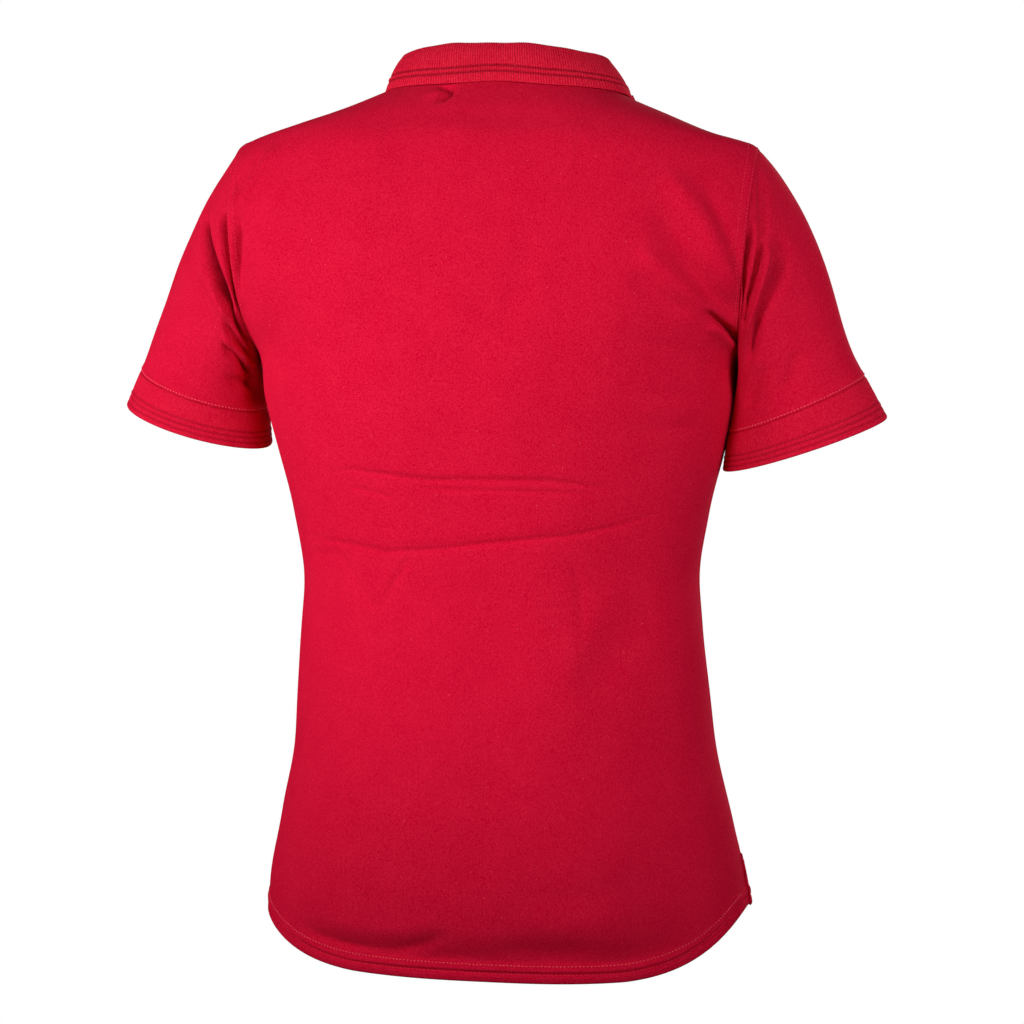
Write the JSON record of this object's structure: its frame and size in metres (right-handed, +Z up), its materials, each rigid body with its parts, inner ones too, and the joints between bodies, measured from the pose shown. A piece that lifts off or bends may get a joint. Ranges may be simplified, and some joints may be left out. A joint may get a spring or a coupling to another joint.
{
  "type": "polo shirt",
  "caption": "Short-sleeved knitted polo shirt, filled out as when worn, with a folded rib collar, rib cuffs, a buttoned placket, side vents and a longer curved back hem.",
  "frame": {"origin": "midway between the two high shoulder points, where the shirt's shoulder seams meet the neck seam and the shirt hangs on its wearer", "axes": "+Z up from hem to collar, +Y towards the back of the shirt, +X towards the wearer's left"},
  "size_m": [0.635, 0.25, 0.7467],
  "materials": {
    "back": "fine cotton knit, matte",
    "front": "fine cotton knit, matte",
    "sleeve_left": "fine cotton knit, matte",
    "sleeve_right": "fine cotton knit, matte",
    "cuff_left": "rib knit, matte",
    "cuff_right": "rib knit, matte",
    "collar": "rib knit, matte",
    "placket_under": "fine cotton knit, matte",
    "placket_over": "fine cotton knit, matte",
    "button": "satin"
  },
  "bodies": {
    "root": {"back": "back", "front": "front", "sleeve_left": "sleeve_left", "sleeve_right": "sleeve_right", "cuff_left": "cuff_left", "cuff_right": "cuff_right", "collar": "collar", "placket_under": "placket_under", "placket_over": "placket_over", "button_1": "button", "button_2": "button", "button_3": "button"}
  },
  "joints": []
}
